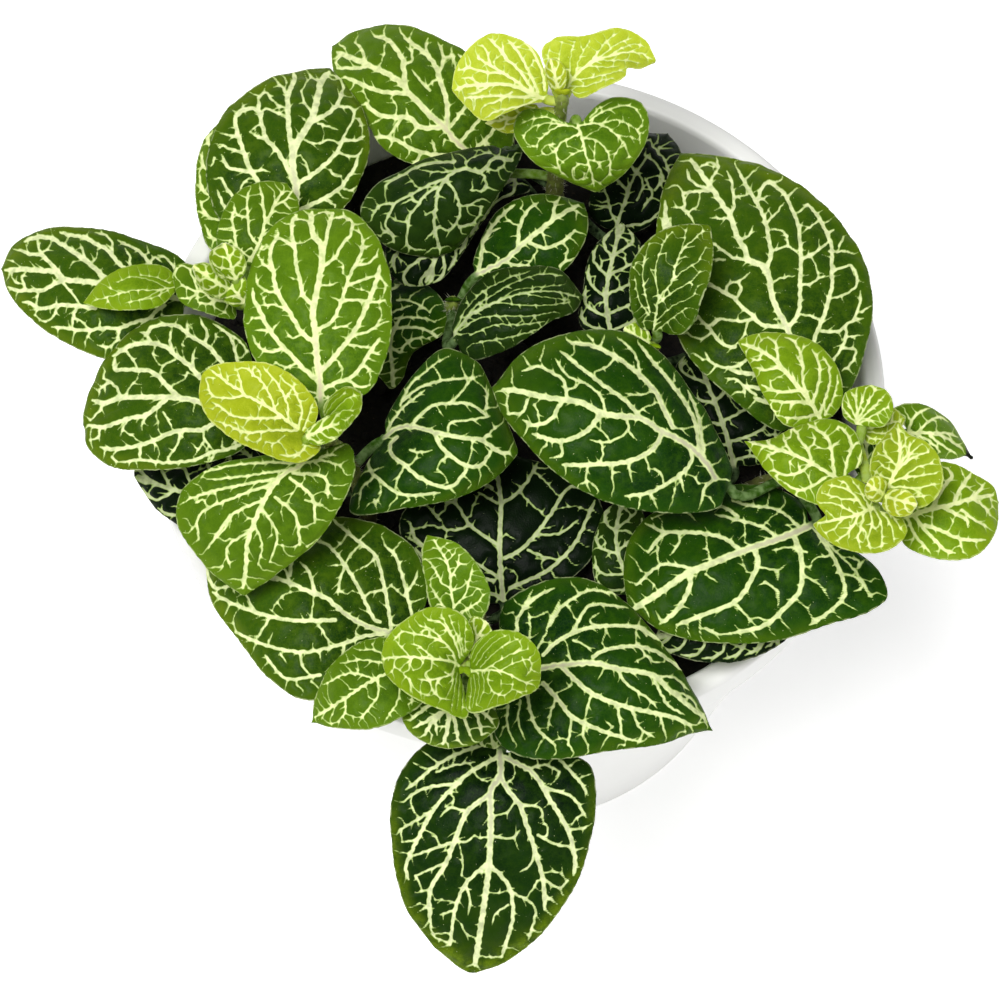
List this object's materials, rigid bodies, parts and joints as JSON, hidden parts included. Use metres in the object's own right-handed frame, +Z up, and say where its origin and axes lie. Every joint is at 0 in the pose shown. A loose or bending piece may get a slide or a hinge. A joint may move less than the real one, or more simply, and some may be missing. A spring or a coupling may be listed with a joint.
{
  "type": "potted nerve plant",
  "caption": "Low creeping house plant with oval dark green leaves netted with cream veins, lime young leaf pairs on top, in a plain white tapered pot with soil.",
  "frame": {"origin": "middle of the pot's flat base, on the surface that the pot stands on", "axes": "+Z up along the pot's axis; the picture is taken from -Y and above, with +X to its right"},
  "size_m": [0.1574, 0.1565, 0.1436],
  "materials": {
    "pot": "gloss",
    "soil": "matte",
    "stem": "satin",
    "old_leaf": "satin",
    "middle_leaf": "satin",
    "young_leaf": "satin"
  },
  "bodies": {
    "root": {"pot": "pot", "soil": "soil", "stem_left": "stem", "stem_front": "stem", "stem_right": "stem", "stem_far_left": "stem", "stem_back": "stem", "stem_middle": "stem", "stem_inner": "stem", "stem_right_inner": "stem", "left_leaf_tall": "middle_leaf", "left_leaf_yellow": "young_leaf", "left_leaf_young": "young_leaf", "left_leaf_lower": "middle_leaf", "left_leaf_outer": "old_leaf", "left_leaf_inner": "old_leaf", "left_leaf_under": "old_leaf", "front_leaf_yellow_left": "young_leaf", "front_leaf_yellow_right": "young_leaf", "front_leaf_up": "middle_leaf", "front_leaf_side": "middle_leaf", "front_leaf_curled": "middle_leaf", "front_leaf_left": "old_leaf", "front_leaf_right": "old_leaf", "front_leaf_hanging": "old_leaf", "front_leaf_deep": "old_leaf", "right_leaf_top": "young_leaf", "right_leaf_fore": "young_leaf", "right_leaf_fore_left": "middle_leaf", "right_leaf_upper_left": "middle_leaf", "right_leaf_round": "middle_leaf", "right_leaf_small": "middle_leaf", "right_leaf_outer": "middle_leaf", "right_leaf_side": "middle_leaf", "right_leaf_low": "old_leaf", "right_leaf_large": "old_leaf", "right_leaf_under": "old_leaf", "far_left_leaf_outer": "old_leaf", "far_left_leaf_small": "middle_leaf", "far_left_leaf_fore": "middle_leaf", "far_left_leaf_up": "middle_leaf", "far_left_leaf_large": "old_leaf", "far_left_leaf_behind": "old_leaf", "back_leaf_yellow_left": "young_leaf", "back_leaf_yellow_right": "young_leaf", "back_leaf_heart": "middle_leaf", "back_leaf_far": "old_leaf", "back_leaf_arching": "old_leaf", "back_leaf_right": "old_leaf", "back_leaf_low": "old_leaf", "middle_leaf_upright": "middle_leaf", "middle_leaf_shaded": "old_leaf", "middle_leaf_low": "old_leaf", "inner_leaf_ribbed": "old_leaf", "inner_leaf_back": "old_leaf", "inner_leaf_behind": "old_leaf", "inner_leaf_under": "old_leaf", "centre_leaf": "old_leaf", "centre_leaf_shaded": "old_leaf", "centre_leaf_narrow": "old_leaf"}
  },
  "joints": []
}
